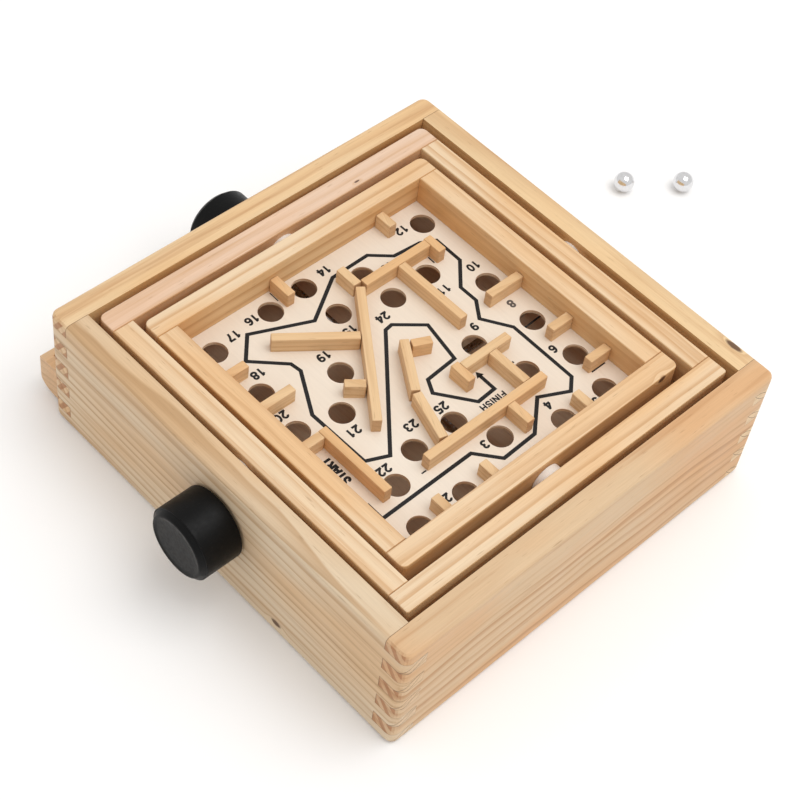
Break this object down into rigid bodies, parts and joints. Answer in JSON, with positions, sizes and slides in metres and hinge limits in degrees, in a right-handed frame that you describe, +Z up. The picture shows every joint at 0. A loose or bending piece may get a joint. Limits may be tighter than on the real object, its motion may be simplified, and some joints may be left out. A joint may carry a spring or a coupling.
{
  "type": "tilt maze game",
  "caption": "Tabletop wooden tilt maze: a finger-jointed box, nested frames tilted by knobs, a holed maze board with strips, a ball return tray and steel balls.",
  "frame": {"origin": "on the table, at the middle of the whole part's footprint, knobs and loose balls included; the box's own middle is at x 43.7 mm, y 9.7 mm", "axes": "+Z up, +X to the player's right (the right knob's side), +Y away from the player; the other knob and the ball tray are on the -Y side"},
  "size_m": [0.3213, 0.2145, 0.06],
  "materials": {
    "box_wood": "sanded, clear satin",
    "frame_wood": "sanded, clear satin",
    "strip_wood": "sanded, raw",
    "board_face": "printed plywood, satin",
    "floor_wood": "plain plywood",
    "black_plastic": "moulded, satin",
    "white_nylon": "moulded, satin",
    "steel": "bright",
    "ball_steel": "polished",
    "cord": "braided",
    "brass": "bright"
  },
  "bodies": {
    "case": {"back_wall": "box_wood", "front_wall": "box_wood", "left_wall": "box_wood", "right_wall": "box_wood", "catch_floor": "floor_wood", "catch_tray": "box_wood", "outer_pivot_left": "white_nylon", "outer_pivot_right": "white_nylon"},
    "outer_frame": {"outer_frame_front_rail": "frame_wood", "outer_frame_back_rail": "frame_wood", "outer_frame_left_rail": "frame_wood", "outer_frame_right_rail": "frame_wood", "inner_pivot_front": "white_nylon", "inner_pivot_back": "white_nylon", "outer_cord": "cord", "outer_spring": "steel", "outer_eye_front": "brass", "outer_eye_back": "brass"},
    "inner_frame": {"inner_frame_front_rail": "frame_wood", "inner_frame_back_rail": "frame_wood", "inner_frame_left_rail": "frame_wood", "inner_frame_right_rail": "frame_wood", "maze_board": "board_face", "strip_left_back": "strip_wood", "strip_left_middle": "strip_wood", "strip_left_front": "strip_wood", "strip_back_left": "strip_wood", "strip_back_middle": "strip_wood", "strip_back_right": "strip_wood", "strip_right_back": "strip_wood", "strip_right_middle": "strip_wood", "strip_right_front": "strip_wood", "strip_front_left": "strip_wood", "strip_front_right": "strip_wood", "strip_long_back": "strip_wood", "strip_long_back_stub": "strip_wood", "strip_finish_left": "strip_wood", "strip_finish_front": "strip_wood", "strip_finish_end": "strip_wood", "strip_slope_upper": "strip_wood", "strip_slope_lower": "strip_wood", "strip_slope_stub": "strip_wood", "strip_long_diagonal": "strip_wood", "strip_diagonal_stub": "strip_wood", "strip_diagonal_branch": "strip_wood", "strip_upright": "strip_wood", "strip_low_cross": "strip_wood", "strip_low_cross_end": "strip_wood", "strip_low_stub": "strip_wood", "strip_start_wall": "strip_wood", "inner_cord": "cord", "inner_spring": "steel", "inner_eye_left": "brass", "inner_eye_right": "brass"},
    "right_drive": {"right_knob": "black_plastic", "right_shaft": "steel"},
    "front_drive": {"front_knob": "black_plastic", "front_shaft": "steel"},
    "ball_1": {"ball_1": "ball_steel"},
    "ball_2": {"ball_2": "ball_steel"}
  },
  "joints": [
    {"name": "outer_tilt", "type": "hinge", "parent": "case", "child": "outer_frame", "pos_m": [0.0437, 0.0097, 0.05], "axis": [1, 0, 0], "range_deg": [-4, 4], "deforming": ["outer_cord", "outer_spring"]},
    {"name": "inner_tilt", "type": "hinge", "parent": "outer_frame", "child": "inner_frame", "pos_m": [0.045, 0.0097, 0.05], "axis": [0, 1, 0], "range_deg": [-4, 4], "deforming": ["inner_cord", "inner_spring"]},
    {"name": "right_knob_turn", "type": "hinge", "parent": "case", "child": "right_drive", "pos_m": [0.0437, 0.011, 0.0349], "axis": [1, 0, 0], "range_deg": [-153, 153]},
    {"name": "front_knob_turn", "type": "hinge", "parent": "case", "child": "front_drive", "pos_m": [0.0437, 0.0097, 0.0313], "axis": [0, 1, 0], "range_deg": [-129, 129]},
    {"name": "ball_1_roll", "type": "slide", "parent": "case", "child": "ball_1", "axis": [0, 1, 0], "range_m": [-0.02, 0.02]},
    {"name": "ball_2_roll", "type": "slide", "parent": "case", "child": "ball_2", "axis": [0, 1, 0], "range_m": [-0.02, 0.02]}
  ],
  "couplings": [
    {"joint": "right_knob_turn", "follows": "outer_tilt", "ratio": 38},
    {"joint": "front_knob_turn", "follows": "inner_tilt", "ratio": 32}
  ]
}
